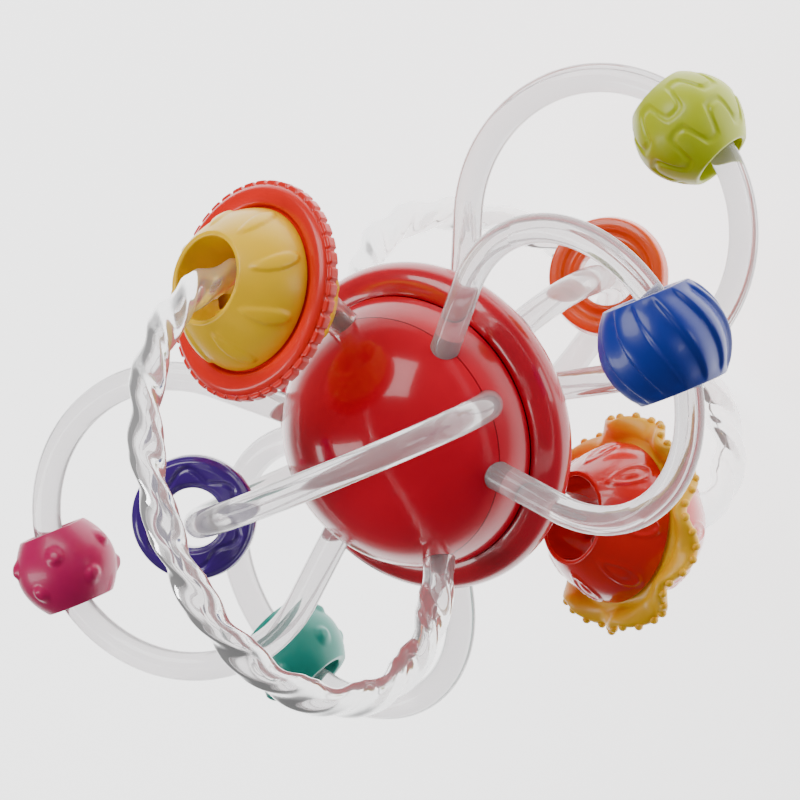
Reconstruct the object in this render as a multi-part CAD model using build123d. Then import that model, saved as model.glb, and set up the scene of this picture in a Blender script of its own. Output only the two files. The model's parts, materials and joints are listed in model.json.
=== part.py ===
from build123d import *
from math import asin, atan2, cos, degrees, hypot, pi, radians, sin, sqrt
import os

# A hand rattle: a two-part ball that twists about its own axis, with four clear loops plugged
# into each half. Every loop carries a bead, a ring or a pair of bead halves with a disc between
# them. All lengths are in millimetres and all angles in degrees.

# ---- ball ----
ball_radius = 27.0
ball_wall = 2.2
seam_height = 12.0            # plane where a cap meets its collar
rim_radius = 32.0
rim_bore_radius = 26.0
rim_half_width = 4.4
rim_shadow_gap = 0.5          # open groove between the rim and each collar's shoulder
web_thickness = 2.4           # disc inside the rim that the two halves bear on
web_overlap = 0.5             # of the web into the rim
floor_thickness = 2.0
face_gap = 0.15               # axial play of the turning half
land_clearance = 0.10         # radial play between the turning collar and the rim

# ---- axle and click ----
axle_radius = 3.0
axle_clearance = 0.06
axle_head_radius = 5.0
axle_head_height = 2.4
washer_radius = 5.6
washer_thickness = 0.8
nut_width = 9.0
nut_height = 3.4
click_teeth = 24
click_tip_radius = 9.2
click_depth = 1.0
click_thickness = 2.4
spring_thickness = 0.8
spring_reach = 10.0
spring_nose_gap = 0.4         # between the nose and the bottom of a tooth gap
spring_nose_half = 0.8
spring_post = (4.0, 3.0)
spring_post_shift = (1.2, 1.4)
rim_screw_count = 3
rim_screw_circle = 13.0
rim_screw_radius = 1.05
rim_screw_head_radius = 2.0
rim_screw_head_height = 1.4
rim_screw_bite = 2.0
rim_screw_turn = 30.0
head_edge_radius = 0.8
screw_edge_radius = 0.5
driver_slot_width = 1.2
driver_slot_depth = 0.8

# ---- loops ----
rod_radius = 2.8              # plain clear rod
twist_rod_radius = 3.1        # barley-twist rod, mean radius
hole_circle_radius = 24.2     # where the rods enter, on the seam
socket_depth = 6.0
socket_wall = 1.6
socket_clearance = 0.05
side_hole_azimuth = 33.0      # each side loop's two holes, either side of the X axis
side_loop_radius = 28.4
side_loop_reach = 29.1        # from the middle of its two holes to the centre of its arc
side_loop_tilt = 11.5         # away from the rim
ring_loop_radius = 29.3
twist_loop_radius = 41.2

# ---- small beads: length, widest diameter, end-face diameter ----
barrel_length = 18.6
barrel_diameter = 24.4
barrel_face_diameter = 16.8
stud_bead_length = 15.0
stud_bead_diameter = 19.6
stud_bead_face_diameter = 13.2
round_bead_length = 17.6
round_bead_diameter = 21.6
round_bead_face_diameter = 12.8
small_bore_radius = 5.0
round_bore_radius = 5.5
bead_rub_gap = 0.35           # left between a rod and the side of the bore that it lies on
bead_edge_radius = 0.6
bead_edge_share = 0.35        # of the flat round the bore, where that is narrow

# ---- flat rings ----
ring_outer_radius = 11.8
ring_bore_radius = 5.6
ring_thickness = 6.0
ring_edge_share = 0.4         # corner radius over thickness

# ---- big beads and their discs ----
big_bead_radius = 15.6
big_bead_length = 26.0
big_bore_radius = 8.0
big_bead_lip = 0.9            # flat round each end of the bore
sleeve_radius = 11.2
disc_running_clearance = 0.08
disc_side_gap = 0.20
disc_hub_thickness = 3.0
toothed_disc_radius = 21.0
toothed_disc_teeth = 42
tooth_radius = 0.6            # of the round notches between teeth
disc_rib_radius = 0.45
disc_rib_insets = (2.2, 4.2)
ruffled_disc_radius = 21.0
ruffle_waves = 8
ruffle_height = 2.2
ruffle_root_radius = 15.2
ruffle_thickness = 2.2
ruffle_overlap = 0.4           # of the hub into the skirt
ruffle_steps = 6              # ruled strips in each wave

# ---- loose pellets ----
pellet_radius = 2.1
pellet_count = 6
pellet_gap = 0.15
pellet_lane = 1.3             # between the click wheel's teeth and the row of pellets
pellet_start = -150.0
pellet_spread = 1.05          # spacing in the heap, in pellet widths

# ---- how the pieces are set at rest ----
half_twist = 27.0             # rear half, turned about the ball's axis against the front half
small_bead_hang = (1.0, 0.0)   # share of the bore's play inwards of the rod, and across the loop
blue_bead_hang = (0.71, -0.71)
front_ring_angle = 62.0
front_ring_hang = (-0.27, 0.50)
rear_ring_angle = -62.0
rear_ring_hang = (-0.16, -0.16)
front_disc_angle = 108.0
front_disc_hang = (3.0, 0.0)   # millimetres inwards of the rod, and across the loop
front_disc_cock = (-4.0, -9.0) # lean of the bead on its rod, about the radial and the normal
rear_disc_angle = 117.0
rear_disc_hang = (1.0, -1.0)
rear_disc_cock = (0.0, 0.0)

shoulder_height = rim_half_width + rim_shadow_gap
seat_front = web_thickness / 2 + face_gap
seat_rear = web_thickness / 2


def slab(low, high):
    """Everything within the ball's reach between two heights."""
    size = 4 * ball_radius
    return Pos(0, 0, (low + high) / 2) * Box(size, size, high - low)


def rod(radius, low, high):
    return Pos(0, 0, (low + high) / 2) * Cylinder(radius, high - low)


# ---------------------------------------------------------------- loops

class Loop:
    """One loop's flat route, in its own plane: x runs across it, y outwards from the ball."""

    def __init__(self, middle, across, outward, half_chord, arc_radius, arc_reach, section):
        self.middle = Vector(*middle)
        self.across = Vector(*across).normalized()
        self.outward = Vector(*outward).normalized()
        self.normal = self.across.cross(self.outward)
        self.plane = Plane(origin=self.middle, x_dir=self.across, z_dir=self.normal)
        self.half_chord = half_chord
        self.arc_radius = arc_radius
        self.section = section
        self.straight_legs = arc_reach is not None
        self.arc_reach = arc_reach if self.straight_legs else sqrt(arc_radius**2 - half_chord**2)

    @property
    def centre(self):
        return self.middle + self.outward * self.arc_reach

    def end_and_tangent(self):
        """The buried end of the rod on the +x side, and its direction out of the ball."""
        if self.straight_legs:
            span = hypot(self.half_chord, self.arc_reach)
            heading = atan2(self.arc_reach, -self.half_chord) - asin(self.arc_radius / span)
            end = (self.half_chord - socket_depth * cos(heading), -socket_depth * sin(heading))
            return end, (cos(heading), sin(heading))
        turn = atan2(-self.arc_reach, self.half_chord) - socket_depth / self.arc_radius
        end = (self.arc_radius * cos(turn), self.arc_reach + self.arc_radius * sin(turn))
        return end, (-sin(turn), cos(turn))

    def route(self):
        (x, y), (dx, dy) = self.end_and_tangent()
        top = (0, self.arc_reach + self.arc_radius)
        if not self.straight_legs:
            return Wire([ThreePointArc((x, y), top, (-x, y)).edge()])
        leg = sqrt(hypot(self.half_chord, self.arc_reach) ** 2 - self.arc_radius**2) + socket_depth
        foot = (x + leg * dx, y + leg * dy)
        mirror = (-foot[0], foot[1])
        return Wire([
            Line((x, y), foot).edge(),
            ThreePointArc(foot, top, mirror).edge(),
            Line(mirror, (-x, y)).edge(),
        ])

    def solid(self, clearance=0.0):
        (x, y), (dx, dy) = self.end_and_tangent()
        start = Plane(origin=(x, y, 0), x_dir=(0, 0, 1), z_dir=(dx, dy, 0))
        tube = sweep(start * Circle(self.section + clearance), path=self.route())
        return self.plane * tube

    def sockets(self):
        """Bosses inside the ball that hold the rod's two ends."""
        (x, y), (dx, dy) = self.end_and_tangent()
        bosses = []
        for side in (1, -1):
            start = Plane(origin=(side * (x - socket_wall * dx), y - socket_wall * dy, 0),
                          x_dir=(0, 0, 1), z_dir=(side * dx, dy, 0))
            boss = extrude(start * Circle(self.section + socket_wall), amount=2 * socket_depth)
            bosses.append(self.plane * boss)
        return bosses

    def seat(self, angle, hang, cock=(0, 0)):
        """Plane at an angle from the loop's top, its z axis along the rod and x axis outwards."""
        a = radians(angle)
        inwards, sideways = hang
        radial = self.across * sin(a) + self.outward * cos(a)
        along = self.across * cos(a) - self.outward * sin(a)
        origin = self.centre + radial * (self.arc_radius - inwards) + self.normal * sideways
        upright = Plane(origin=origin, x_dir=radial, z_dir=along)
        return Plane(upright.location * Rot(cock[0], cock[1], 0))

    def play(self, bore, shares):
        """Offsets of a bead whose bore has some of its play taken up against the rod."""
        slack = bore - self.section - bead_rub_gap
        return slack * shares[0], slack * shares[1]


side_azimuth = radians(side_hole_azimuth)
side_middle = hole_circle_radius * cos(side_azimuth)
side_chord = hole_circle_radius * sin(side_azimuth)
tilt = radians(side_loop_tilt)
loops = {
    "near_side": Loop((side_middle, 0, seam_height), (0, 1, 0), (cos(tilt), 0, sin(tilt)),
                      side_chord, side_loop_radius, side_loop_reach, rod_radius),
    "far_side": Loop((-side_middle, 0, seam_height), (0, -1, 0), (-cos(tilt), 0, sin(tilt)),
                     side_chord, side_loop_radius, side_loop_reach, rod_radius),
    "ring": Loop((0, 0, seam_height), (-1, 0, 0), (0, 0, 1),
                 hole_circle_radius, ring_loop_radius, None, rod_radius),
    "twisted": Loop((0, 0, seam_height), (0, 1, 0), (0, 0, 1),
                    hole_circle_radius, twist_loop_radius, None, twist_rod_radius),
}
loop_solids = {name: loop.solid() for name, loop in loops.items()}


# ---------------------------------------------------------------- ball shells

def half_shell(floor_bottom, land_radius):
    """A cap and the collar it closes, with the rod sockets shared between them at the seam."""
    floor_top = floor_bottom + floor_thickness
    inner = Sphere(ball_radius - ball_wall)
    outside = (Sphere(ball_radius) & slab(shoulder_height, ball_radius)) \
        + rod(land_radius, floor_bottom, shoulder_height)
    shell = outside - (inner & slab(floor_top, ball_radius))
    keep = Sphere(ball_radius - ball_wall / 2) & slab(floor_top - floor_thickness / 2, ball_radius)
    for loop in loops.values():
        for boss in loop.sockets():
            shell += boss & keep
    for loop in loops.values():
        shell -= loop.solid(socket_clearance)
    cap = shell & slab(seam_height, 2 * ball_radius)
    collar = shell & slab(0, seam_height)
    return cap, collar


front_cap, front_collar = half_shell(seat_front, rim_bore_radius - land_clearance)
rear_cap, rear_collar = half_shell(seat_rear, rim_bore_radius)
front_floor_top = seat_front + floor_thickness
rear_floor_top = seat_rear + floor_thickness
front_collar -= rod(axle_radius + axle_clearance, 0, front_floor_top + 1)
rear_collar -= rod(axle_radius, 0, rear_floor_top + 1)


def rim():
    """The rounded rim with its bearing web, bored for the axle and the rim screws."""
    lip = make_face([
        Line((rim_bore_radius, -rim_half_width), (rim_bore_radius, rim_half_width)).edge(),
        ThreePointArc((rim_bore_radius, rim_half_width), (rim_radius, 0),
                      (rim_bore_radius, -rim_half_width)).edge(),
    ])
    body = revolve(Plane.XZ * lip, Axis.Z, 360)
    body += rod(rim_bore_radius + web_overlap, -web_thickness / 2, web_thickness / 2)
    return body - rod(axle_radius, -web_thickness, web_thickness)


def axle_bolt():
    head_bottom = front_floor_top + face_gap + click_thickness
    tip = -(rear_floor_top + washer_thickness + nut_height)
    head = rod(axle_head_radius, head_bottom, head_bottom + axle_head_height)
    head = fillet(head.edges().group_by(Axis.Z)[-1], head_edge_radius)
    slot = Pos(0, 0, head_bottom + axle_head_height) \
        * Box(driver_slot_width, 2 * axle_head_radius, 2 * driver_slot_depth)
    return head - slot + rod(axle_radius, tip, head_bottom)


def click_wheel():
    """Toothed wheel clamped under the bolt's head; it stays with the rear half."""
    bottom = front_floor_top + face_gap
    points = []
    for i in range(2 * click_teeth):
        radius = click_tip_radius - (click_depth if i % 2 == 0 else 0)
        turn = pi * i / click_teeth
        points.append((radius * cos(turn), radius * sin(turn)))
    blank = extrude(make_face(Polyline(*points, close=True)), amount=click_thickness)
    return Pos(0, 0, bottom) * blank - rod(axle_radius, 0, bottom + 2 * click_thickness)


def click_spring():
    """Leaf with a pointed nose that rests between two teeth, on a post on the front floor."""
    valley = click_tip_radius - click_depth
    nose = valley + spring_nose_gap
    arm = nose + click_depth
    outline = Polyline((nose, 0), (arm, spring_nose_half), (arm, spring_reach),
                       (arm + spring_thickness, spring_reach),
                       (arm + spring_thickness, -spring_nose_half),
                       (arm, -spring_nose_half), close=True)
    bottom = front_floor_top + face_gap
    leaf = Pos(0, 0, bottom) * extrude(make_face(outline), amount=click_thickness)
    post_height = face_gap + click_thickness
    post = Pos(arm + spring_post_shift[0], spring_reach + spring_post_shift[1],
               front_floor_top + post_height / 2) * Box(*spring_post, post_height)
    return leaf + post


def rim_screws():
    """Three pan-head self-tapping screws that hold the rim's web to the rear floor."""
    screws = []
    for i in range(rim_screw_count):
        turn = radians(rim_screw_turn + i * 360 / rim_screw_count)
        x = rim_screw_circle * cos(turn)
        y = rim_screw_circle * sin(turn)
        head = rod(rim_screw_head_radius, -rear_floor_top - rim_screw_head_height, -rear_floor_top)
        head = fillet(head.edges().group_by(Axis.Z)[0], screw_edge_radius)
        shank = rod(rim_screw_radius, -rear_floor_top, -seat_rear + rim_screw_bite)
        screws.append(Pos(x, y, 0) * (head + shank))
    return screws


# ---------------------------------------------------------------- beads, rings and discs

def barrel(length, diameter, face_diameter, bore_radius):
    """Bead turned about z: bowed side, flat ends and a bore with eased edges."""
    half = length / 2
    face_radius = face_diameter / 2
    pull = diameter - face_radius
    side = make_face([
        Line((bore_radius, -half), (face_radius, -half)).edge(),
        Bezier((face_radius, -half), (pull, 0), (face_radius, half)).edge(),
        Line((face_radius, half), (bore_radius, half)).edge(),
        Line((bore_radius, half), (bore_radius, -half)).edge(),
    ])
    bead = revolve(Plane.XZ * side, Axis.Z, 360)
    ease = min(bead_edge_radius, bead_edge_share * (face_radius - bore_radius))
    return fillet(bead.edges().filter_by(GeomType.CIRCLE), ease)


def flat_ring():
    """Ring with a fully rounded bore and outside."""
    middle = (ring_outer_radius + ring_bore_radius) / 2
    width = ring_outer_radius - ring_bore_radius
    section = Pos(middle, 0) * RectangleRounded(width, ring_thickness, ring_edge_share * ring_thickness)
    return revolve(Plane.XZ * section, Axis.Z, 360)


def big_bead():
    """Two bead halves. One carries the sleeve that the disc turns on and the other closes it."""
    half = big_bead_length / 2
    groove = disc_hub_thickness / 2 + disc_side_gap
    full = barrel(big_bead_length, 2 * big_bead_radius, 2 * (big_bore_radius + big_bead_lip),
                  big_bore_radius)
    sleeve = rod(sleeve_radius, -groove, groove) - rod(big_bore_radius, -half, half)
    outer = (full & slab(-half, -groove)) + sleeve
    return outer, full & slab(groove, half)


def toothed_disc():
    """Disc with concentric ribs on both faces and notches round its edge."""
    bore = sleeve_radius + disc_running_clearance
    half = disc_hub_thickness / 2
    body = rod(toothed_disc_radius, -half, half)
    for inset in disc_rib_insets:
        for side in (1, -1):
            body += Pos(0, 0, side * half) * Torus(toothed_disc_radius - inset, disc_rib_radius)
    for i in range(toothed_disc_teeth):
        notch = Pos(toothed_disc_radius, 0, 0) * Cylinder(tooth_radius, 4 * half)
        body -= Rot(0, 0, i * 360 / toothed_disc_teeth) * notch
    return body - rod(bore, -2 * half, 2 * half)


def ruffled_disc():
    """Flat hub with a skirt that waves up and down round its edge."""
    bore = sleeve_radius + disc_running_clearance
    half = disc_hub_thickness / 2
    hub = rod(ruffle_root_radius + ruffle_overlap, -half, half) - rod(bore, -2 * half, 2 * half)
    steps = ruffle_steps * ruffle_waves
    sections = []
    for i in range(steps + 1):
        turn = 360 * i / steps
        rise = ruffle_height * sin(radians(turn * ruffle_waves))
        outline = Polyline(
            (ruffle_root_radius, 0, -ruffle_thickness / 2),
            (ruffled_disc_radius, 0, rise - ruffle_thickness / 2),
            (ruffled_disc_radius, 0, rise + ruffle_thickness / 2),
            (ruffle_root_radius, 0, ruffle_thickness / 2), close=True)
        sections.append(Rot(0, 0, turn) * make_face(outline))
    skirt = [loft([first, second], ruled=True) for first, second in zip(sections, sections[1:])]
    return hub + skirt


# ---------------------------------------------------------------- halves put together

def small_bead_set(half):
    """Name, solid, bore and hang of the two side beads of a half, near side first."""
    studded = barrel(stud_bead_length, stud_bead_diameter, stud_bead_face_diameter,
                     small_bore_radius)
    if half == "front":
        fluted = barrel(barrel_length, barrel_diameter, barrel_face_diameter, small_bore_radius)
        return (("blue_fluted_bead", fluted, small_bore_radius, blue_bead_hang),
                ("magenta_studded_bead", studded, small_bore_radius, small_bead_hang))
    grooved = barrel(round_bead_length, round_bead_diameter, round_bead_face_diameter,
                     round_bore_radius)
    return (("lime_grooved_bead", grooved, round_bore_radius, small_bead_hang),
            ("teal_studded_bead", studded, small_bore_radius, small_bead_hang))


hinges = []


def half_nodes(half):
    """Loops, beads, rings and discs of one half, in the half's own frame."""
    nodes = {}
    for name, solid in loop_solids.items():
        nodes[half + "_" + name + "_loop"] = solid
    for side, (node, bead, bore, hang) in zip(("near_side", "far_side"), small_bead_set(half)):
        loop = loops[side]
        nodes[node] = loop.seat(0, loop.play(bore, hang)) * bead
        hinges.append((half, node + "_slide", loop.centre, loop.normal))
    if half == "front":
        node, angle, hang = "purple_ring", front_ring_angle, front_ring_hang
        colour, disc, disc_solid = "yellow", "red_toothed_disc", toothed_disc()
        seat = loops["twisted"].seat(front_disc_angle, front_disc_hang, front_disc_cock)
    else:
        node, angle, hang = "orange_ring", rear_ring_angle, rear_ring_hang
        colour, disc, disc_solid = "red", "yellow_ruffled_disc", ruffled_disc()
        seat = loops["twisted"].seat(rear_disc_angle, rear_disc_hang, rear_disc_cock)
    loop = loops["ring"]
    nodes[node] = loop.seat(angle, loop.play(ring_bore_radius, hang)) * flat_ring()
    hinges.append((half, node + "_slide", loop.centre, loop.normal))
    loop = loops["twisted"]
    sleeve_half, plain_half = big_bead()
    nodes[colour + "_bead_sleeve_half"] = seat * sleeve_half
    nodes[colour + "_bead_plain_half"] = seat * plain_half
    nodes[disc] = seat * disc_solid
    hinges.append((half, colour + "_bead_slide", loop.centre, loop.normal))
    hinges.append((half, disc + "_spin", seat.origin, seat.z_dir))
    return nodes


def cap_pellets():
    """Pellets heaped at the bottom of the lower cap."""
    reach = ball_radius - ball_wall - pellet_radius - pellet_gap
    spread = degrees(2 * (pellet_radius + pellet_gap) / reach)
    bottom = Pos(0, 0, reach) * Sphere(pellet_radius)
    heap = [bottom]
    for i in range(pellet_count - 1):
        heap.append(Rot(0, 0, i * 360 / (pellet_count - 1)) * Rot(0, spread * pellet_spread, 0) * bottom)
    return heap


def floor_pellets():
    """Pellets lying on the front floor, in a row round the click wheel."""
    height = front_floor_top + pellet_radius + pellet_gap
    reach = click_tip_radius + pellet_radius + pellet_lane
    step = degrees(2 * (pellet_radius + pellet_gap) / reach)
    ball = Pos(reach, 0, height) * Sphere(pellet_radius)
    return [Rot(0, 0, pellet_start + i * step) * ball for i in range(pellet_count)]


to_rear = Rot(0, 0, half_twist) * Rot(180, 0, 0)
nodes = {
    "rim_ring": rim(),
    "axle_bolt": axle_bolt(),
    "click_wheel": click_wheel(),
    "click_spring": click_spring(),
    "front_cap": front_cap,
    "front_collar": front_collar,
    "rear_cap": to_rear * rear_cap,
    "rear_collar": to_rear * rear_collar,
    "axle_washer": to_rear * (rod(washer_radius, rear_floor_top, rear_floor_top + washer_thickness)
                              - rod(axle_radius, 0, ball_radius)),
    "axle_nut": to_rear * (Pos(0, 0, rear_floor_top + washer_thickness)
                           * extrude(RegularPolygon(nut_width / 2, 6, major_radius=False),
                                     amount=nut_height) - rod(axle_radius, 0, ball_radius)),
    "front_pellets": Compound(children=floor_pellets()),
    "rear_pellets": to_rear * Compound(children=cap_pellets()),
}
screws = rim_screws()
for screw in screws:
    nodes["rim_ring"] -= screw
    nodes["rear_collar"] -= screw
nodes["rim_screws"] = Compound(children=screws)
nodes.update(half_nodes("front"))
for name, shape in half_nodes("rear").items():
    nodes[name] = to_rear * shape

os.makedirs("parts", exist_ok=True)
for name, shape in nodes.items():
    shape.label = name
    export_step(shape, "parts/" + name + ".step")

# each hinge's point and direction
for half, name, origin, direction in hinges:
    turn = Pos(0, 0, 0) if half == "front" else to_rear
    start = (turn * Pos(*origin)).position
    end = (turn * Pos(*(origin + direction))).position
    print("hinge", name, *(round(v, 5) for v in start), *(round(v, 6) for v in end - start))
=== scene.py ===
"""Looks of the baby rattle: glossy twist ball, clear loops, embossed beads, rings and discs."""
import json
import math

import bpy
import numpy as np
from mathutils import Matrix, Vector


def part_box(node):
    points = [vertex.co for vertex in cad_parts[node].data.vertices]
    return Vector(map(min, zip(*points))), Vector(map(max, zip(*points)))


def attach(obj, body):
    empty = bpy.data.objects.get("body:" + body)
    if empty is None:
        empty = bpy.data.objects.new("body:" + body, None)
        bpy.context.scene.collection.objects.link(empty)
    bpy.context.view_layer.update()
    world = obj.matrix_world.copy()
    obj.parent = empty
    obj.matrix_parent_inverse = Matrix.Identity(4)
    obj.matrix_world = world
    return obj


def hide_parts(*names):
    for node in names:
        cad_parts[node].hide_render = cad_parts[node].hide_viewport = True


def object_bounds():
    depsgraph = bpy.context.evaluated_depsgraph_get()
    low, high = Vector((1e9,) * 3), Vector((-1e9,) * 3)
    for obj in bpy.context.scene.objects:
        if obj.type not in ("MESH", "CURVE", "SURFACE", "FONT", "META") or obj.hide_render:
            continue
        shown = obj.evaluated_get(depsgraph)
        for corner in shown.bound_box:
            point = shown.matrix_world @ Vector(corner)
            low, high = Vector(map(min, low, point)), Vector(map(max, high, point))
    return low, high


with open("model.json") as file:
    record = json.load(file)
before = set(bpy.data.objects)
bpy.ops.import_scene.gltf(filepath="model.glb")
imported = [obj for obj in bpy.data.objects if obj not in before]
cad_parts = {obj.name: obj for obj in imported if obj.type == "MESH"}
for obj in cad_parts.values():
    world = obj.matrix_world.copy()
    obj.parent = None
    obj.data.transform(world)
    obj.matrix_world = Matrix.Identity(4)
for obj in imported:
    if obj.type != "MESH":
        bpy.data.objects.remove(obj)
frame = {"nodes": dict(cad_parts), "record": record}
cad_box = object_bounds()

MM = 0.001
FULL_TURN = 2 * math.pi
JOINTS = {joint["name"]: joint for joint in frame["record"]["behaviour"]["joints"]}
SLOT_OF = {entry["node"]: entry["material_slot"] for entry in frame["record"]["subparts"]}


# ------------------------------------------------------------------ nodes and effects

MIX_FIRST, MIX_SECOND, MIX_RESULT = 6, 7, 2      # the colour sockets of a Mix node


def add_node(tree, kind, inputs=None, **settings):
    """Adds a shader node with its settings, and plain values on its inputs."""
    node = tree.nodes.new("ShaderNode" + kind)
    for name, value in settings.items():
        setattr(node, name, value)
    for name, value in (inputs or {}).items():
        node.inputs[name].default_value = value
    return node


def link(tree, source, target):
    tree.links.new(source, target)


def maths(tree, operation, *terms, clamp=False):
    """One step of arithmetic; each term is a socket or a plain number."""
    node = add_node(tree, "Math", operation=operation, use_clamp=clamp)
    for slot, term in zip(node.inputs, terms):
        if isinstance(term, bpy.types.NodeSocket):
            link(tree, term, slot)
        else:
            slot.default_value = term
    return node.outputs["Value"]


def start_effect(name, inputs, outputs):
    """A node group with named inputs, each a plain value or a colour where it is None."""
    group = bpy.data.node_groups.new(name, "ShaderNodeTree")
    for label, value in inputs.items():
        kind = "NodeSocketColor" if value is None else "NodeSocketFloat"
        socket = group.interface.new_socket(name=label, in_out="INPUT", socket_type=kind)
        if value is not None:
            socket.default_value = value
    for label, kind in outputs.items():
        group.interface.new_socket(name=label, in_out="OUTPUT", socket_type="NodeSocket" + kind)
    return group, group.nodes.new("NodeGroupInput"), group.nodes.new("NodeGroupOutput")


def moulded_skin():
    """Faint waviness and fine grain of a moulded surface: a roughness value and a bump height."""
    group, given, result = start_effect(
        "moulded_skin", {"Roughness": 0.3, "Spread": 0.08, "Grain size": 900.0},
        {"Roughness": "Float", "Height": "Float"})
    where = add_node(group, "TexCoord")
    cloudy = add_node(group, "TexNoise", {"Scale": 55.0, "Detail": 3.0})
    grain = add_node(group, "TexNoise", {"Detail": 2.0})
    link(group, where.outputs["Object"], cloudy.inputs["Vector"])
    link(group, where.outputs["Object"], grain.inputs["Vector"])
    link(group, given.outputs["Grain size"], grain.inputs["Scale"])
    noise_middle = 0.5
    shift = maths(group, "SUBTRACT", cloudy.outputs["Fac"], noise_middle)
    scaled = maths(group, "MULTIPLY", shift, given.outputs["Spread"])
    link(group, maths(group, "ADD", scaled, given.outputs["Roughness"]),
         result.inputs["Roughness"])
    link(group, grain.outputs["Fac"], result.inputs["Height"])
    return group


def pigment_drift():
    """The slight unevenness of a pigment through a moulding."""
    group, given, result = start_effect(
        "pigment_drift", {"Colour": None, "Deep colour": None}, {"Colour": "Color"})
    where = add_node(group, "TexCoord")
    drift = add_node(group, "TexNoise", {"Scale": 38.0, "Detail": 4.0})
    ramp = add_node(group, "MapRange", {"From Min": 0.40, "From Max": 0.72})
    blend = add_node(group, "Mix", data_type="RGBA")
    link(group, where.outputs["Object"], drift.inputs["Vector"])
    link(group, drift.outputs["Fac"], ramp.inputs["Value"])
    link(group, ramp.outputs["Result"], blend.inputs["Factor"])
    link(group, given.outputs["Colour"], blend.inputs[MIX_FIRST])
    link(group, given.outputs["Deep colour"], blend.inputs[MIX_SECOND])
    link(group, blend.outputs[MIX_RESULT], result.inputs["Colour"])
    return group


def seam_lines_and_gap_shade():
    """Masks where mouldings meet: a thin dark seam line at a height either side of the middle, and
    painted shade over the open gap below a height or inside a radius."""
    group, given, result = start_effect(
        "seam_lines_and_gap_shade", {"Line height": 0.012, "Line half width": 0.0001, "Shade gap height": 0.0,
                          "Shade gap radius": 0.0}, {"Line": "Float", "Gap shade": "Float"})
    where = add_node(group, "TexCoord")
    split = add_node(group, "SeparateXYZ")
    link(group, where.outputs["Object"], split.inputs["Vector"])
    x, y, z = (split.outputs[axis] for axis in "XYZ")
    height = maths(group, "ABSOLUTE", z)
    to_line = maths(group, "SUBTRACT", height, given.outputs["Line height"])
    off_line = maths(group, "ABSOLUTE", to_line)
    square = maths(group, "ADD", maths(group, "MULTIPLY", x, x), maths(group, "MULTIPLY", y, y))
    # painted shade: the gap mask, below a height or inside a radius
    low = maths(group, "LESS_THAN", height, given.outputs["Shade gap height"])
    near = maths(group, "LESS_THAN", maths(group, "SQRT", square), given.outputs["Shade gap radius"])
    link(group, maths(group, "LESS_THAN", off_line, given.outputs["Line half width"]),
         result.inputs["Line"])
    link(group, maths(group, "MAXIMUM", low, near), result.inputs["Gap shade"])
    return group


SKIN = moulded_skin()
DRIFT = pigment_drift()
SEAMS_AND_GAP_SHADE = seam_lines_and_gap_shade()


# ------------------------------------------------------------------ materials

DEEP_SHARE = 0.86                        # how much darker a pigment gets where it is dense
PLASTIC_IOR = 1.49
CLEAR_IOR = 1.44
COAT_ROUGHNESS = 0.04
SKIN_SPREAD = 0.06                       # how far the gloss of coloured plastic varies
GRAIN_DEPTH = 0.0001
CLEAR_SPREAD = 0.05
RIPPLE_SIZE = 160.0
RIPPLE_DEPTH = 0.0004
CLEAR_SHARE = 0.76                       # the rest of a clear rod is faintly milky
UNDER_SKIN = (0.004, 0.0015, 0.0008)     # how far red, green and blue travel inside
HAIRLINE_HALF = 0.00009


def new_material(name):
    material = bpy.data.materials.new(name)
    material.use_nodes = True
    return material, material.node_tree, material.node_tree.nodes["Principled BSDF"]


def dress_skin(tree, shader, values, strength, depth):
    """Roughness and bump of a moulded surface."""
    skin = add_node(tree, "Group", values, node_tree=SKIN)
    bump = add_node(tree, "Bump", {"Strength": strength, "Distance": depth})
    link(tree, skin.outputs["Roughness"], shader.inputs["Roughness"])
    link(tree, skin.outputs["Height"], bump.inputs["Height"])
    link(tree, bump.outputs["Normal"], shader.inputs["Normal"])


def moulded(name, colour, roughness, coat, grain=0.02, glow=0.0):
    """Coloured moulded plastic. glow is how much of its light comes from under the surface."""
    material, tree, shader = new_material(name)
    deep = [DEEP_SHARE * part for part in colour]
    drift = add_node(tree, "Group", {"Colour": (*colour, 1), "Deep colour": (*deep, 1)},
                     node_tree=DRIFT)
    link(tree, drift.outputs["Colour"], shader.inputs["Base Color"])
    dress_skin(tree, shader, {"Roughness": roughness, "Spread": SKIN_SPREAD}, grain, GRAIN_DEPTH)
    shader.inputs["Coat Weight"].default_value = coat
    shader.inputs["Coat Roughness"].default_value = COAT_ROUGHNESS
    shader.inputs["IOR"].default_value = PLASTIC_IOR
    if glow:
        shader.inputs["Subsurface Weight"].default_value = glow
        shader.inputs["Subsurface Radius"].default_value = UNDER_SKIN
    return material


def paint_seam_and_gap_shade(material, line_height, shade_gap_height, shade_gap_radius, seam_and_shade_dark):
    """Darkens a moulding, and takes off its gloss, where it meets the next one: a dark seam line,
    and painted shade in the gap.
    """
    tree = material.node_tree
    shader = tree.nodes["Principled BSDF"]
    colour = shader.inputs["Base Color"].links[0].from_socket
    seam_and_shade_masks = add_node(tree, "Group", {
        "Line height": line_height, "Line half width": HAIRLINE_HALF,
        "Shade gap height": shade_gap_height, "Shade gap radius": shade_gap_radius}, node_tree=SEAMS_AND_GAP_SHADE)
    # the seam line, or painted shade in the gap: both take the dark colour and lose their coat
    seam_or_shade = maths(tree, "MAXIMUM", seam_and_shade_masks.outputs["Line"], seam_and_shade_masks.outputs["Gap shade"])
    blend = add_node(tree, "Mix", data_type="RGBA")
    blend.inputs[MIX_SECOND].default_value = (*seam_and_shade_dark, 1)
    link(tree, seam_or_shade, blend.inputs["Factor"])
    link(tree, colour, blend.inputs[MIX_FIRST])
    link(tree, blend.outputs[MIX_RESULT], shader.inputs["Base Color"])
    coat = shader.inputs["Coat Weight"]
    link(tree, maths(tree, "SUBTRACT", coat.default_value, seam_or_shade, clamp=True), coat)


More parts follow.
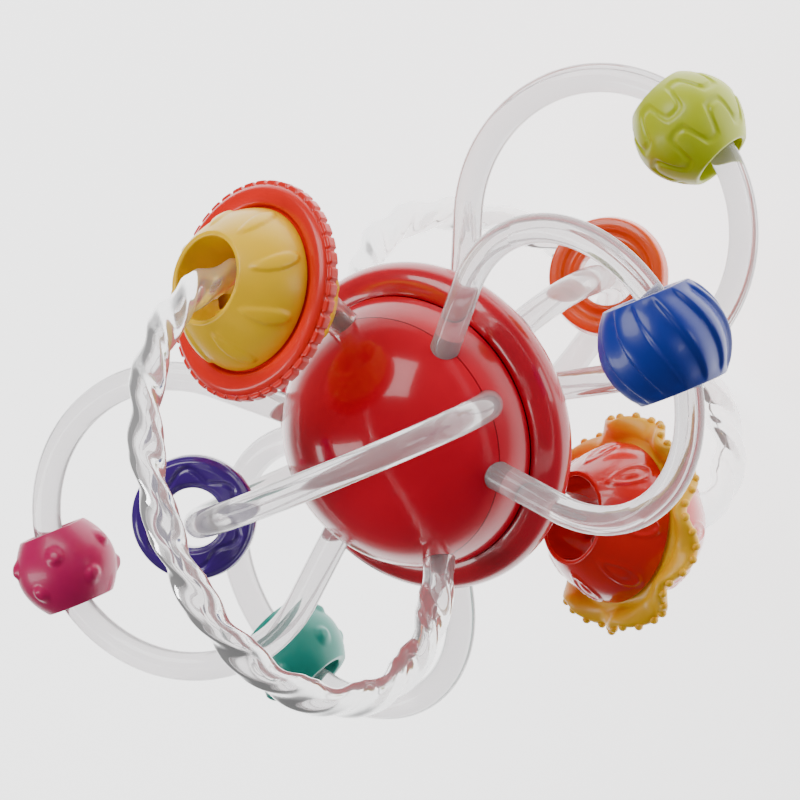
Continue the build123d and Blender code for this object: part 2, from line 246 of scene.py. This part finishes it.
def clear_plastic(name, tint, roughness, ripple):
    """Clear plastic with a faint cloudiness; ripple is how strong its waviness is."""
    material, tree, shader = new_material(name)
    shader.inputs["Base Color"].default_value = (*tint, 1)
    shader.inputs["Transmission Weight"].default_value = CLEAR_SHARE
    shader.inputs["IOR"].default_value = CLEAR_IOR
    values = {"Roughness": roughness, "Spread": CLEAR_SPREAD, "Grain size": RIPPLE_SIZE}
    dress_skin(tree, shader, values, ripple, RIPPLE_DEPTH)
    return material


def metal(name, colour, roughness):
    material = moulded(name, colour, roughness, 0.0)
    material.node_tree.nodes["Principled BSDF"].inputs["Metallic"].default_value = 1.0
    return material


ball_red = moulded("ball_red_gloss", (0.66, 0.001, 0.020), 0.18, 0.4, grain=0.01)
ball_red.node_tree.nodes["Principled BSDF"].inputs["Specular IOR Level"].default_value = 0.3
# dark seam line at 12 mm, and painted shade on the collar below 4.92 mm, in the gap by the rim
paint_seam_and_gap_shade(ball_red, line_height=0.012, shade_gap_height=0.00492, shade_gap_radius=0.0,
           seam_and_shade_dark=(0.10, 0.001, 0.001))
rim_crimson = moulded("rim_crimson_gloss", (0.56, 0.002, 0.018), 0.22, 0.7, grain=0.01)
# painted shade on the rim's inner band next to the ball; the line height lies off the rim, so
# there is no seam line
paint_seam_and_gap_shade(rim_crimson, line_height=0.1, shade_gap_height=0.0, shade_gap_radius=0.0266,
           seam_and_shade_dark=(0.02, 0.001, 0.001))
blue = moulded("blue_soft_gloss", (0.001, 0.022, 0.30), 0.36, 0.2, glow=0.05)
magenta = moulded("magenta_satin", (0.52, 0.002, 0.10), 0.38, 0.15, glow=0.08)
lime = moulded("lime_satin", (0.47, 0.54, 0.001), 0.38, 0.1, glow=0.08)
teal = moulded("teal_satin", (0.001, 0.26, 0.20), 0.38, 0.2, glow=0.08)
purple = moulded("purple_gloss", (0.048, 0.006, 0.20), 0.2, 0.6)
orange = moulded("orange_gloss", (0.80, 0.075, 0.001), 0.24, 0.5, glow=0.05)
yellow = moulded("yellow_satin", (0.98, 0.58, 0.0), 0.36, 0.1, glow=0.12)
disc_red = moulded("disc_red_satin", (0.80, 0.010, 0.002), 0.32, 0.2, glow=0.05)
bead_red = moulded("bead_red_gloss", (0.72, 0.006, 0.003), 0.22, 0.6, glow=0.05)
disc_yellow = moulded("disc_yellow_soft", (0.86, 0.46, 0.0), 0.42, 0.1, glow=0.12)
clear_rod = clear_plastic("clear_rod", (0.84, 0.815, 0.825), 0.07, 0.05)
twisted_clear = clear_plastic("twisted_clear", (0.88, 0.855, 0.86), 0.06, 0.12)
steel = metal("zinc_steel", (0.62, 0.61, 0.58), 0.3)
acetal = moulded("white_acetal", (0.80, 0.80, 0.77), 0.45, 0.0)
shot = moulded("pellet_cream", (0.72, 0.70, 0.62), 0.5, 0.0)

SLOT_FINISH = {
    "ball_red": ball_red, "rim_crimson": rim_crimson, "clear_rod": clear_rod, "blue": blue,
    "magenta": magenta, "purple": purple, "yellow": yellow, "disc_red": disc_red, "lime": lime,
    "teal": teal, "orange": orange, "bead_red": bead_red, "disc_yellow": disc_yellow,
    "steel": steel, "wheel_white": acetal, "pellet": shot,
}

for node, cad in frame["nodes"].items():
    cad.data.materials.clear()
    cad.data.materials.append(SLOT_FINISH[SLOT_OF[node]])


# ------------------------------------------------------------------ turned pieces, in mm

EASE_POINTS = 5              # points round an eased corner
EASE_ROOM = 0.49             # the share of a run that one corner's easing may take


def smooth(x):
    """0 to 1 with eased ends."""
    x = np.clip(x, 0.0, 1.0)
    return x * x * (3 - 2 * x)


def angular(a, b):
    """Signed difference of two angles, from minus to plus half a turn."""
    return (a - b + math.pi) % FULL_TURN - math.pi


def eased_outline(corners, ease, step):
    """Closed outline through (z, r) corners, each rounded by its own ease, points a step apart."""
    corners = [np.array(corner, float) for corner in corners]
    points = []
    for i, here in enumerate(corners):
        to_before = corners[i - 1] - here
        to_after = corners[(i + 1) % len(corners)] - here
        before_run, after_run = np.linalg.norm(to_before), np.linalg.norm(to_after)
        cut = min(ease[i], min(before_run, after_run) * EASE_ROOM)
        first = here + to_before / before_run * cut
        last = here + to_after / after_run * cut
        for t in np.linspace(0, 1, EASE_POINTS if cut > 0 else 1):
            points.append((1 - t) ** 2 * first + 2 * t * (1 - t) * here + t * t * last)
    dense = []
    for a, b in zip(points, points[1:] + points[:1]):
        pieces = max(1, int(np.linalg.norm(b - a) / step))
        dense += [a + (b - a) * k / pieces for k in range(pieces)]
    return np.array(dense)


def bowed_corners(length, radius, face_radius, low=-1.0, high=1.0, count=44):
    """Points of a barrel's bowed side between two shares of its half length."""
    share = np.linspace(low, high, count)
    return [(a * length / 2, radius - (radius - face_radius) * a * a) for a in share]


def both_faces(profile, edge=()):
    """A disc's corners from one face's, given from the bore outwards, and its edge's own."""
    return [(-z, r) for z, r in profile] + list(edge) + [(z, r) for z, r in reversed(profile)]


def mesh_object(name, points, faces, material):
    mesh = bpy.data.meshes.new(name)
    mesh.from_pydata(points.tolist(), [], faces)
    mesh.materials.append(material)
    mesh.shade_smooth()
    piece = bpy.data.objects.new(name, mesh)
    bpy.context.collection.objects.link(piece)
    return piece


def quads(rows, columns, join_rows=False):
    """Faces of a grid of points that closes on itself along its columns."""
    last = rows if join_rows else rows - 1
    return [(i * columns + j, (i + 1) % rows * columns + j,
             (i + 1) % rows * columns + (j + 1) % columns, i * columns + (j + 1) % columns)
            for i in range(last) for j in range(columns)]


def turned(name, outline, relief, place, material, around=208):
    """Closed outline turned round z. relief(angle, z, r) gives (dr, dz) over the whole surface."""
    shape = (around, len(outline))
    angle = np.broadcast_to(np.linspace(0, FULL_TURN, around, endpoint=False)[:, None], shape)
    z = np.broadcast_to(outline[:, 0], shape)
    r = np.broadcast_to(outline[:, 1], shape)
    dr, dz = relief(angle, z, r)
    r = r + dr
    local = np.stack([r * np.cos(angle), r * np.sin(angle), z + dz], axis=-1)
    matrix = np.array(place)
    points = local.reshape(-1, 3) * MM @ matrix[:3, :3].T + matrix[:3, 3]
    return mesh_object(name, points, quads(*shape, join_rows=True), material)


def plain_relief(angle, z, r):
    return 0 * z, 0 * z


def matrix_of(x_axis, y_axis, z_axis, origin):
    place = Matrix.Identity(4)
    for column, axis in enumerate((x_axis, y_axis, z_axis, origin)):
        for row in range(3):
            place[row][column] = axis[row]
    return place


def frame_at(origin, z_axis, x_hint):
    z_axis = Vector(z_axis).normalized()
    x_axis = (Vector(x_hint) - Vector(x_hint).dot(z_axis) * z_axis).normalized()
    return matrix_of(x_axis, z_axis.cross(x_axis), z_axis, Vector(origin))


def middle_of(node):
    low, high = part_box(node)
    return (Vector(low) + Vector(high)) / 2


def seat_on_loop(node, joint_name):
    """Where a sliding piece sits: z along its rod, x away from the middle of its loop."""
    joint = JOINTS[joint_name]
    normal = Vector(joint["axis"]).normalized()
    middle = middle_of(node)
    radial = middle - Vector(joint["pos_m"])
    radial -= radial.dot(normal) * normal
    return frame_at(middle, normal.cross(radial), radial)


def stands_for(piece, node, body):
    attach(piece, body)
    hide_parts(node)


# ------------------------------------------------------------------ small beads

LONG_BARREL = (18.6, 12.2, 8.4, 5.0)      # length, radius, end-face radius, bore radius
SHORT_BARREL = (15.0, 9.8, 6.6, 5.0)
ROUND_BARREL = (17.6, 10.8, 6.4, 5.5)


def barrel_outline(barrel, lip):
    """Outline of a bead with a bowed side; lip is how far its edges are eased."""
    length, radius, face_radius, bore = barrel
    side = bowed_corners(length, radius, face_radius)
    corners = side + [(length / 2, bore), (-length / 2, bore)]
    return eased_outline(corners, [lip] + [0.0] * (len(side) - 2) + [lip] * 3, step=0.45)


def on_side(z, r, barrel):
    """1 on a bead's bowed side, 0 on its ends and in its bore."""
    length, bore = barrel[0], barrel[3]
    end_share = 0.12
    bore_wall, bore_fade = 0.5, 0.8
    ends = smooth((length / 2 - np.abs(z)) / (end_share * length))
    return ends * smooth((r - bore - bore_wall) / bore_fade)


def fluted_bead():
    """Pleats that lean along the barrel, each rising slowly and falling back sharply."""
    length = LONG_BARREL[0]
    pleats = 13
    steps_per_pleat = 20
    depth = 0.75
    lean = 0.9           # pleats passed from one end to the other
    rising = 0.82        # the share of a pleat that rises
    sunk = 0.75          # the share of the depth below the bead's plain side

    def relief(angle, z, r):
        run = (pleats * angle / FULL_TURN + lean * z / length) % 1.0
        pleat = np.where(run < rising, run / rising, (1 - run) / (1 - rising))
        return depth * (smooth(pleat) - sunk) * on_side(z, r, LONG_BARREL), 0 * z

    place = seat_on_loop("blue_fluted_bead", "blue_bead_slide")
    return turned("blue_fluted_shell", barrel_outline(LONG_BARREL, 1.0), relief, place, blue,
                  around=pleats * steps_per_pleat)


def studded_bead(name, node, joint_name, material):
    """Low round studs in two staggered rows."""
    length, radius = SHORT_BARREL[:2]
    stud_radius, stud_height = 2.2, 0.8
    steepness = 1.35
    per_row = 5
    row_height = 0.2 * length

    def relief(angle, z, r):
        lift = 0 * z
        for row, side in enumerate((-1, 1)):
            for k in range(per_row):
                turn = FULL_TURN * (k + 0.5 * row) / per_row
                reach = np.hypot(radius * angular(angle, turn), z - side * row_height)
                stud = smooth(steepness * (1 - reach / stud_radius))
                lift = np.maximum(lift, stud_height * stud)
        return lift * on_side(z, r, SHORT_BARREL), 0 * z

    return turned(name, barrel_outline(SHORT_BARREL, 1.1), relief,
                  seat_on_loop(node, joint_name), material)


def grooved_bead():
    """Round bead with two rows of winding grooves pressed into it."""
    length, radius = ROUND_BARREL[:2]
    waves = 7
    swing = 2.5
    squareness = 1.8         # how far a winding is from a plain sine
    row_height = 0.22 * length
    row_turn = 0.8           # how far each row's windings are turned
    groove_half, groove_depth = 0.84, 0.42
    steepness = 1.4

    def relief(angle, z, r):
        cut = 0 * z
        for side in (-1, 1):
            phase = waves * angle + side * row_turn
            bend = squareness * np.sin(phase)
            line = side * row_height + swing * np.tanh(bend) / math.tanh(squareness)
            slope = swing * squareness * waves * np.cos(phase) / radius / np.cosh(bend) ** 2
            reach = np.abs(z - line) / np.sqrt(1 + slope * slope)
            cut = np.maximum(cut, smooth(steepness * (1 - reach / groove_half)))
        return -groove_depth * cut * on_side(z, r, ROUND_BARREL), 0 * z

    place = seat_on_loop("lime_grooved_bead", "lime_bead_slide")
    return turned("lime_grooved_shell", barrel_outline(ROUND_BARREL, 0.8), relief, place, lime,
                  around=336)


stands_for(fluted_bead(), "blue_fluted_bead", "blue_bead")
for colour, material in (("magenta", magenta), ("teal", teal)):
    node = colour + "_studded_bead"
    bead = studded_bead(colour + "_studded_shell", node, colour + "_bead_slide", material)
    stands_for(bead, node, colour + "_bead")
stands_for(grooved_bead(), "lime_grooved_bead", "lime_bead")


# ------------------------------------------------------------------ flat rings

RING_OUTER = 11.8
RING_BORE = 5.6
RING_HALF = 3.0


def wavy_ring():
    """Ring whose faces carry a raised border with a waved inner edge."""
    corners = [(-RING_HALF, RING_BORE), (-RING_HALF, RING_OUTER),
               (RING_HALF, RING_OUTER), (RING_HALF, RING_BORE)]
    outline = eased_outline(corners, [1.6, 2.2, 2.2, 1.6], step=0.22)
    waves = 6
    border_radius, border_swing, border_end = 8.7, 1.0, 11.3
    border_lift, border_fades = 0.55, (0.35, 0.4)
    lip_radius, lip_gap, lip_lift, lip_fade = 6.4, 0.9, 0.3, 0.3
    sunk = 0.35
    face_from, face_fade = 0.72 * RING_HALF, 0.2 * RING_HALF

    def relief(angle, z, r):
        edge = border_radius + border_swing * np.sin(waves * angle)
        faces = smooth((np.abs(z) - face_from) / face_fade)
        border = smooth((r - edge) / border_fades[0]) * smooth((border_end - r) / border_fades[1])
        lip = smooth((r - lip_radius) / lip_fade) * (1 - smooth((r - edge + lip_gap) / lip_fade))
        return 0 * z, np.sign(z) * (border_lift * border + lip_lift * lip - sunk) * faces

    place = seat_on_loop("purple_ring", "purple_ring_slide")
    return turned("purple_waved_ring", outline, relief, place, purple, around=280)


def dished_ring():
    """Ring with a rounded outer tyre, a stepped dish and a raised lip round its bore."""
    lip = [(1.9, RING_BORE), (2.6, 6.4)]
    dish = [(1.5, 7.3), (1.5, 8.4)]
    tyre = [(2.9, 9.2), (2.7, 11.2)]
    corners = both_faces(lip + dish + tyre, [(0, RING_OUTER)])
    outline = eased_outline(corners, [0.6] * len(corners), step=0.25)
    place = seat_on_loop("orange_ring", "orange_ring_slide")
    return turned("orange_dished_ring", outline, plain_relief, place, orange, around=160)


stands_for(wavy_ring(), "purple_ring", "purple_slider")
stands_for(dished_ring(), "orange_ring", "orange_slider")


# ------------------------------------------------------------------ big beads

BIG_RADIUS = 15.6
BIG_LENGTH = 26.0
BIG_BORE = 8.0
BIG_FACE = 8.9
DISC_GROOVE_HALF = 1.7
PETALS = 8
PETAL_MIDDLE = 7.4                # from the disc to the middle of a petal
SLOT_ANGLE = math.radians(250)


def big_half(name, side, place, material, relief):
    """One half of a big bead, from the disc's groove to its open end."""
    half = BIG_LENGTH / 2
    bow = bowed_corners(BIG_LENGTH, BIG_RADIUS, BIG_FACE, DISC_GROOVE_HALF / half, 1.0)
    corners = bow + [(half, BIG_BORE), (DISC_GROOVE_HALF, BIG_BORE)]
    ease = [0.5] + [0.0] * (len(bow) - 2) + [0.9, 0.9, 0.2]
    outline = eased_outline([(side * z, r) for z, r in corners], ease, step=0.4)
    return turned(name, outline[::side], relief, place, material, around=240)


def petal_reach(angle, z, lean, half_width, half_length):
    """Distance from the nearest petal: 0 at its middle, 1 on its outline."""
    nearest = np.full(z.shape, np.inf)
    along = np.abs(z) - PETAL_MIDDLE
    for k in range(PETALS):
        across = BIG_RADIUS * angular(angle, FULL_TURN * k / PETALS + lean * along)
        nearest = np.minimum(nearest, np.hypot(across / half_width, along / half_length))
    return nearest


def big_side(r):
    """1 on a big bead's outside, 0 in its bore."""
    wall, fade = 1.6, 1.0
    return smooth((r - BIG_BORE - wall) / fade)


def moulding_slot(angle, z):
    """Depth of the small slot in each bead half, at the edge by the disc."""
    depth, half_width, side_fade = 1.3, 1.0, 0.35
    end, end_fade = 3.0, 0.3
    across = BIG_RADIUS * np.abs(angular(angle, SLOT_ANGLE))
    return (depth * smooth((half_width - across) / side_fade)
            * smooth((end - np.abs(z)) / end_fade))


def yellow_relief(angle, z, r):
    """Plump leaning petals standing off the bead."""
    dome_height, edge_height, edge_steepness = 0.30, 0.28, 5.0
    reach = petal_reach(angle, z, lean=0.022, half_width=1.9, half_length=4.4)
    dome = np.sqrt(np.clip(1 - reach ** 2, 0, 1))
    petal = dome_height * dome + edge_height * smooth(edge_steepness * (1 - reach))
    return petal * big_side(r) - moulding_slot(angle, z), 0 * z


def red_relief(angle, z, r):
    """Oval ridges, each with a plump middle."""
    ridge_height, ridge_at, ridge_half = 0.40, 0.92, 0.15
    plump_height, plump_edge, plump_steepness = 0.30, 0.55, 2.6
    reach = petal_reach(angle, z, lean=0.0, half_width=2.2, half_length=3.8)
    ridge = np.exp(-((reach - ridge_at) / ridge_half) ** 2)
    plump = smooth(plump_steepness * (plump_edge - reach))
    petal = ridge_height * ridge + plump_height * plump
    return petal * big_side(r) - moulding_slot(angle, z), 0 * z


def disc_seat(spin_name, slide_name):
    """Where a disc sits: z along its own axis, x away from the middle of its loop."""
    spin, slide = JOINTS[spin_name], JOINTS[slide_name]
    outward = Vector(spin["pos_m"]) - Vector(slide["pos_m"])
    return frame_at(spin["pos_m"], spin["axis"], outward)


def add_big_bead(colour, material, relief, place):
    for part in ("sleeve_half", "plain_half"):
        node = colour + "_bead_" + part
        offset = middle_of(node) - place.translation
        side = 1 if offset.dot(place.col[2].xyz) > 0 else -1
        piece = big_half(colour + "_" + part + "_shell", side, place, material, relief)
        stands_for(piece, node, colour + "_bead")


# ------------------------------------------------------------------ discs round the big beads

DISC_BORE = 11.3


def toothed_disc(place):
    """Disc with a notched edge and a rounded tyre standing off both faces."""
    outer = 21.0
    profile = [(1.1, DISC_BORE), (1.3, 14.4), (1.0, 15.3), (1.0, 15.7), (1.9, 16.3), (2.25, 17.8),
               (2.1, 19.2), (1.5, 19.9), (1.1, 20.1), (1.0, outer)]
    ease = [0.3, 0.4, 0.2, 0.2, 0.4, 0.7, 0.7, 0.4, 0.15, 0.4]
    outline = eased_outline(both_faces(profile), ease + ease[::-1], step=0.25)
    teeth, steps_per_tooth = 42, 12
    notch_from, notch_fade, notch_depth = 0.45, 0.4, 0.6
    teeth_from, teeth_fade = 20.0, 0.3

    def relief(angle, z, r):
        notch = smooth((np.cos(teeth * angle) - notch_from) / notch_fade)
        return -notch_depth * notch * smooth((r - teeth_from) / teeth_fade), 0 * z

    return turned("red_toothed_wheel", outline, relief, place, disc_red,
                  around=teeth * steps_per_tooth)


RUFFLE_OUTER = 20.7
RUFFLE_FROM = 14.6          # the skirt is flat inside this radius
RUFFLES = 8


def ruffle(angle, r):
    """How a point of the skirt moves in and up: (dr, dz)."""
    swing, draw_in = 2.0, 0.7
    rise = smooth((r - RUFFLE_FROM) / (RUFFLE_OUTER - RUFFLE_FROM))
    wave = np.sin(RUFFLES * angle)
    return -rise * draw_in * np.abs(wave) ** 4, rise * swing * wave


def ruffled_skirt(place):
    """Soft skirt that waves up and down, with a thick rounded hem."""
    profile = [(1.3, DISC_BORE), (1.3, RUFFLE_FROM), (0.7, 15.6), (0.8, 16.6), (1.55, 17.6),
               (1.75, 19.0), (1.3, 20.2), (0.5, RUFFLE_OUTER)]
    ease = [0.3, 0.5, 0.4, 0.4, 0.6, 0.7, 0.6, 0.5]
    outline = eased_outline(both_faces(profile), ease + ease[::-1], step=0.3)
    return turned("yellow_ruffled_skirt", outline, lambda angle, z, r: ruffle(angle, r), place,
                  disc_yellow, around=320)


def edge_balls(place):
    """The row of small balls round the skirt's hem."""
    balls, ball_radius = 48, 0.85
    steps, rings = 12, 8
    tilt = (math.pi * np.arange(1, rings) / rings)[:, None]
    turn = (FULL_TURN * np.arange(steps) / steps)[None, :]
    sides = np.stack([np.sin(tilt) * np.cos(turn), np.sin(tilt) * np.sin(turn),
                      np.cos(tilt) + 0 * turn], axis=-1).reshape(-1, 3)
    ball = ball_radius * np.concatenate([sides, [(0, 0, 1), (0, 0, -1)]])
    top, foot = len(sides), len(sides) + 1
    last = top - steps
    ball_faces = quads(rings - 1, steps)
    ball_faces += [(top, j, (j + 1) % steps) for j in range(steps)]
    ball_faces += [(last + j, foot, last + (j + 1) % steps) for j in range(steps)]
    points, faces = [], []
    for k in range(balls):
        angle = FULL_TURN * k / balls
        dr, dz = ruffle(angle, RUFFLE_OUTER)
        reach = RUFFLE_OUTER + dr
        points.append(ball + (reach * math.cos(angle), reach * math.sin(angle), dz))
        faces += [tuple(k * len(ball) + corner for corner in face) for face in ball_faces]
    matrix = np.array(place)
    points = np.concatenate(points) * MM @ matrix[:3, :3].T + matrix[:3, 3]
    return mesh_object("yellow_ruffled_edge_balls", points, faces, disc_yellow)


yellow_seat = disc_seat("toothed_disc_spin", "yellow_bead_slide")
red_seat = disc_seat("ruffled_disc_spin", "red_bead_slide")
add_big_bead("yellow", yellow, yellow_relief, yellow_seat)
add_big_bead("red", bead_red, red_relief, red_seat)
stands_for(toothed_disc(yellow_seat), "red_toothed_disc", "toothed_disc")
for piece in (ruffled_skirt(red_seat), edge_balls(red_seat)):
    stands_for(piece, "yellow_ruffled_disc", "ruffled_disc")


# ------------------------------------------------------------------ barley-twist rods

ROD_RADIUS = 3.1 * MM
ROD_PITCH = 30.0 * MM            # run of one full turn of the twist
ROD_FOOT = 24.2 * MM             # from the ball's middle to where a rod enters the cap
ROD_INSIDE = 6.0 * MM            # length hidden in its socket
PLAIN_RUN = 9.0 * MM             # over which the round end turns into the twist


def twist_section(turn, twist):
    """Share of the rod's radius towards an angle of its flattened, rounded-square section."""
    flat_wide, flat_deep, squareness, fill = 1.12, 0.80, 3.0, 0.97
    wide = abs(math.cos(turn - twist)) / flat_wide
    deep = abs(math.sin(turn - twist)) / flat_deep
    return fill / (wide ** squareness + deep ** squareness) ** (1 / squareness)


def twisted_rod(name, node, joint_name, body):
    """Clear rod of a flattened section that turns as it goes round, plain where it enters."""
    centre = Vector(JOINTS[joint_name]["pos_m"])
    normal = Vector(JOINTS[joint_name]["axis"]).normalized()
    low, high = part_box(node)
    pole = 1 if centre.z > 0 else -1
    outward = Vector((0, 0, pole))
    across = normal.cross(outward)
    top = high[2] if pole > 0 else low[2]
    radius = abs(top - centre.z) - ROD_RADIUS
    end = math.pi - math.asin(ROD_FOOT / radius) + ROD_INSIDE / radius
    stations, around = 420, 40
    points = []
    for i in range(stations):
        angle = end * (2 * i / (stations - 1) - 1)
        radial = across * math.sin(angle) + outward * math.cos(angle)
        middle = centre + radial * radius
        travel = radius * angle
        twisted = float(smooth((end * radius - abs(travel) - ROD_INSIDE) / PLAIN_RUN))
        for j in range(around):
            turn = FULL_TURN * j / around
            section = twist_section(turn, FULL_TURN * travel / ROD_PITCH)
            size = ROD_RADIUS * (1 + twisted * (section - 1))
            points.append(middle + (radial * math.cos(turn) + normal * math.sin(turn)) * size)
    faces = [(a, d, c, b) for a, b, c, d in quads(stations, around)]
    faces.append(tuple(reversed(range(around))))
    faces.append(tuple((stations - 1) * around + j for j in range(around)))
    stands_for(mesh_object(name, np.array(points), faces, twisted_clear), node, body)


twisted_rod("front_barley_twist_rod", "front_twisted_loop", "yellow_bead_slide", "front_half")
twisted_rod("rear_barley_twist_rod", "rear_twisted_loop", "red_bead_slide", "rear_half")


# ------------------------------------------------------------------ floor, light and camera

VIEW_RIGHT = Vector((0.7565, -0.3780, -0.5337)).normalized()
VIEW_BACK = Vector((0.5880, 0.0356, 0.8081))
VIEW_BACK = (VIEW_BACK - VIEW_BACK.dot(VIEW_RIGHT) * VIEW_RIGHT).normalized()
VIEW_UP = VIEW_BACK.cross(VIEW_RIGHT)
VIEW_DISTANCE = 1.62
BALL_RIGHT_OF_MIDDLE = 0.0046
BALL_BELOW_MIDDLE = 0.0049
SENSOR = 36.0
SEEN_WIDTH = 0.152

FLOOR_HALF = 6.0
FLOOR_GAP = 0.0005
FLOOR_PALE = 0.93
# painted light: how brightly the floor glows in a pool round the toy
PAINTED_POOL_STRENGTH = 2.4
PAINTED_POOL_FULL, PAINTED_POOL_END = 0.22, 0.50      # radii where the painted pool of light starts to fade, and is gone
WORLD_LIGHT = 0.16                    # how strongly the surrounding air lights the toy
WORLD_SEEN = 1.1                      # how bright it looks directly and through clear plastic

# name, direction (right, up, before), distance, width and height, power
SOFTBOXES = (
    ("key", (-0.7, 0.9, 0.9), 0.9, (0.7, 0.5), 6.5),
    ("side", (1.0, 0.3, 0.5), 1.0, (0.35, 0.8), 3.2),
    ("left_strip", (-1.0, -0.35, 0.25), 0.8, (0.2, 0.7), 3.0),
)


def floor():
    """Pale table with a painted pool of light glowing round the toy, so that it stays clear of
    shadows.
    """
    low = cad_box[0][2] - FLOOR_GAP
    corners = [(x * FLOOR_HALF, y * FLOOR_HALF, low)
               for x, y in ((-1, -1), (1, -1), (1, 1), (-1, 1))]
    mesh = bpy.data.meshes.new("floor")
    mesh.from_pydata(corners, [], [(0, 1, 2, 3)])
    piece = bpy.data.objects.new("floor", mesh)
    bpy.context.collection.objects.link(piece)
    finish, tree, shader = new_material("pale_floor_painted_pool")
    shader.inputs["Base Color"].default_value = (FLOOR_PALE, FLOOR_PALE, FLOOR_PALE, 1)
    shader.inputs["Roughness"].default_value = 0.8
    # painted light: the floor's emission is a glowing pool round the toy
    shader.inputs["Emission Strength"].default_value = PAINTED_POOL_STRENGTH
    where = add_node(tree, "TexCoord")
    reach = add_node(tree, "VectorMath", operation="LENGTH")
    painted_pool = add_node(tree, "MapRange", {"From Min": PAINTED_POOL_FULL, "From Max": PAINTED_POOL_END,
                                       "To Min": 1.0, "To Max": 0.0},
                    interpolation_type="SMOOTHSTEP")
    link(tree, where.outputs["Object"], reach.inputs[0])
    link(tree, reach.outputs["Value"], painted_pool.inputs["Value"])
    link(tree, painted_pool.outputs["Result"], shader.inputs["Emission Color"])
    mesh.materials.append(finish)


def softbox(name, direction, distance, size, power):
    data = bpy.data.lights.new(name, "AREA")
    data.shape = "RECTANGLE"
    data.size, data.size_y = size
    data.energy = power
    lamp = bpy.data.objects.new(name, data)
    right, up, before = direction
    away = (VIEW_RIGHT * right + VIEW_UP * up + VIEW_BACK * before).normalized()
    lamp.location = away * distance
    lamp.rotation_euler = away.to_track_quat("Z", "Y").to_euler()
    bpy.context.collection.objects.link(lamp)


def world_light():
    """Pale air that looks bright and lights the toy softly."""
    world = bpy.data.worlds.new("studio")
    world.use_nodes = True
    tree = world.node_tree
    shader = tree.nodes["Background"]
    shader.inputs["Color"].default_value = (1, 1, 1, 1)
    ray = add_node(tree, "LightPath")
    seen = maths(tree, "MAXIMUM", ray.outputs["Is Camera Ray"], ray.outputs["Is Transmission Ray"])
    strength = add_node(tree, "MapRange", {"To Min": WORLD_LIGHT, "To Max": WORLD_SEEN})
    link(tree, seen, strength.inputs["Value"])
    link(tree, strength.outputs["Result"], shader.inputs["Strength"])
    bpy.context.scene.world = world


def camera():
    data = bpy.data.cameras.new("camera")
    data.sensor_width = SENSOR
    data.lens = SENSOR * VIEW_DISTANCE / SEEN_WIDTH
    data.clip_end = 20
    seen = bpy.data.objects.new("camera", data)
    aim = VIEW_UP * BALL_BELOW_MIDDLE - VIEW_RIGHT * BALL_RIGHT_OF_MIDDLE
    seen.matrix_world = matrix_of(VIEW_RIGHT, VIEW_UP, VIEW_BACK, aim + VIEW_BACK * VIEW_DISTANCE)
    bpy.context.collection.objects.link(seen)
    bpy.context.scene.camera = seen


floor()
world_light()
for softbox_plan in SOFTBOXES:
    softbox(*softbox_plan)
camera()
